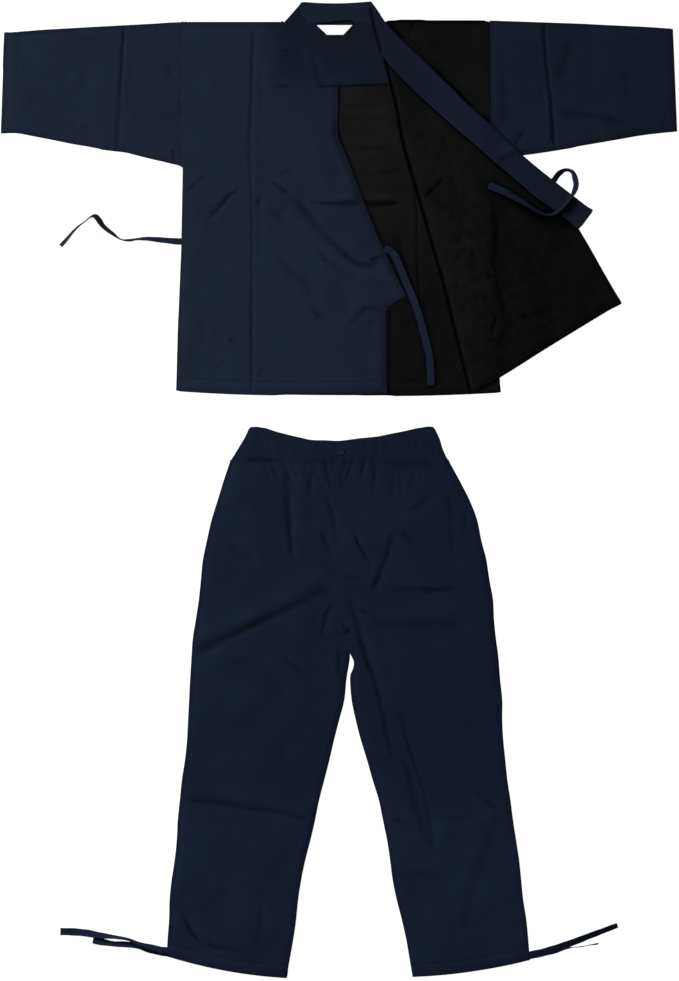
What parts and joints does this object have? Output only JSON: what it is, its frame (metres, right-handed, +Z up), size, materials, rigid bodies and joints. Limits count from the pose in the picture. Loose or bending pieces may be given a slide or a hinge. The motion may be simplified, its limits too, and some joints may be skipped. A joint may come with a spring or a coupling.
{
  "type": "samue jacket and trousers set",
  "caption": "Samue set laid flat: wrap jacket with its left front folded open over a black lining, and elastic-waist trousers with ties at the hems.",
  "frame": {"origin": "centre of the whole set's outline, on the surface that it lies on", "axes": "+Z up from the surface, +Y from the trouser hems towards the collar, +X towards the wearer's left"},
  "size_m": [1.317, 1.902, 0.0202],
  "materials": {
    "navy_jacket": "indigo cotton twill, matt",
    "navy_trousers": "darker indigo cotton twill, matt",
    "lining": "black plain-weave lining, matt",
    "label": "white woven label, blank",
    "button": "dark four-hole button"
  },
  "bodies": {
    "root": {"back_shell": "navy_jacket", "back_lining": "lining", "back_neck_yoke": "navy_jacket", "neck_label": "label", "front_right": "navy_jacket", "front_left_unturned": "lining", "front_left_shell": "navy_jacket", "front_left_lining": "lining", "sleeve_right": "navy_jacket", "sleeve_left": "navy_jacket", "collar_back": "navy_jacket", "collar_right": "navy_jacket", "collar_left": "navy_jacket", "tie_side_right": "navy_jacket", "tie_front_right": "navy_jacket", "tie_front_left": "navy_jacket", "leg_back_right": "navy_trousers", "leg_front_right": "navy_trousers", "leg_back_left": "navy_trousers", "leg_front_left": "navy_trousers", "waistband": "navy_trousers", "waist_button": "button", "tie_hem_right_long": "navy_trousers", "tie_hem_right_short": "navy_trousers", "tie_hem_left_long": "navy_trousers", "tie_hem_left_short": "navy_trousers"}
  },
  "joints": []
}
